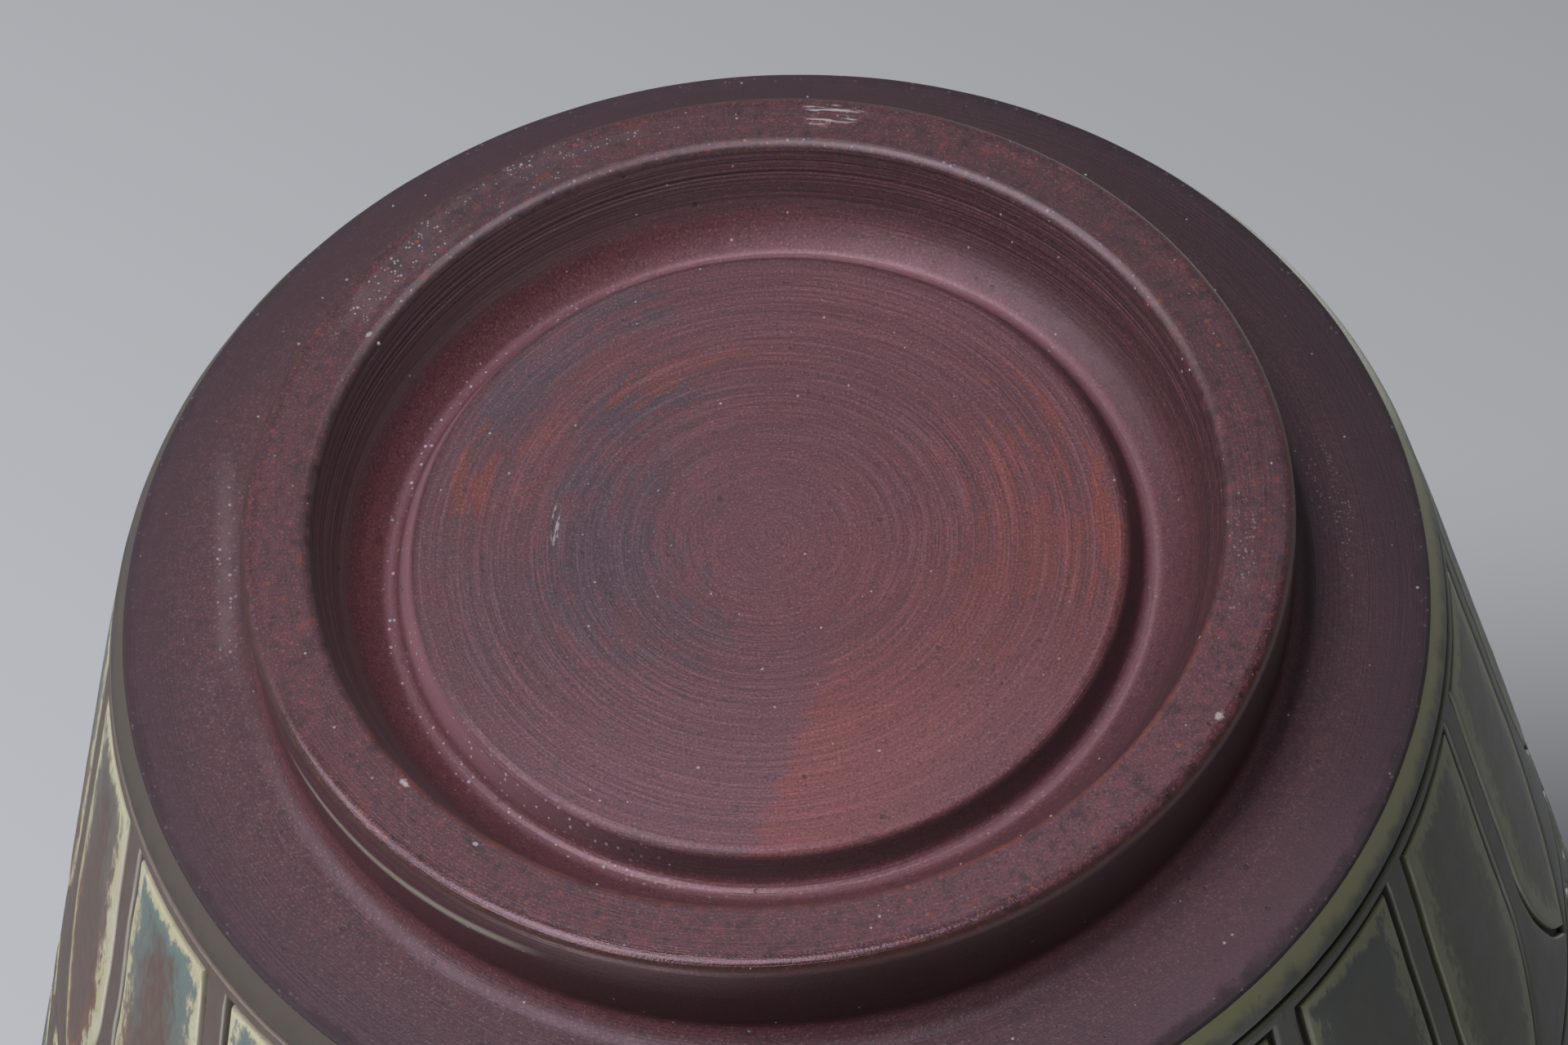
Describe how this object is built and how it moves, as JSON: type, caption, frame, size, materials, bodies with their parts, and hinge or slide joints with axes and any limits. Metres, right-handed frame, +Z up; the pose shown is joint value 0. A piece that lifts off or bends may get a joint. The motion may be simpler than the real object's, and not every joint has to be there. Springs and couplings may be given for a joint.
{
  "type": "stoneware vase",
  "caption": "Stoneware vase with a flared body, rounded shoulder, short neck and turned-out lip, on a turned foot ring with a recessed underside; holds flowers and water.",
  "frame": {"origin": "centre of the plane that the foot ring stands on", "axes": "+Z up along the turning axis to the mouth; +X midway between two petals"},
  "size_m": [0.1998, 0.1996, 0.2386],
  "materials": {
    "bare_clay": "turned, vitrified, satin",
    "grey_glaze": "satin glaze",
    "brown_glaze": "satin glaze",
    "cream_glaze": "pooled gloss glaze",
    "olive_glaze": "satin glaze",
    "liner_glaze": "gloss glaze"
  },
  "bodies": {
    "root": {"foot_ring": "bare_clay", "base_section": "bare_clay", "wall_section": "bare_clay", "shoulder_section": "bare_clay", "neck_section": "bare_clay", "plain_band_glaze": "grey_glaze", "petal_ground_glaze": "brown_glaze", "petal_glaze": "cream_glaze", "bead_ground_glaze": "brown_glaze", "bead_glaze": "cream_glaze", "reed_ground_glaze": "brown_glaze", "reed_glaze": "olive_glaze", "shoulder_glaze": "olive_glaze", "neck_glaze": "olive_glaze", "liner_glaze": "liner_glaze"}
  },
  "joints": []
}
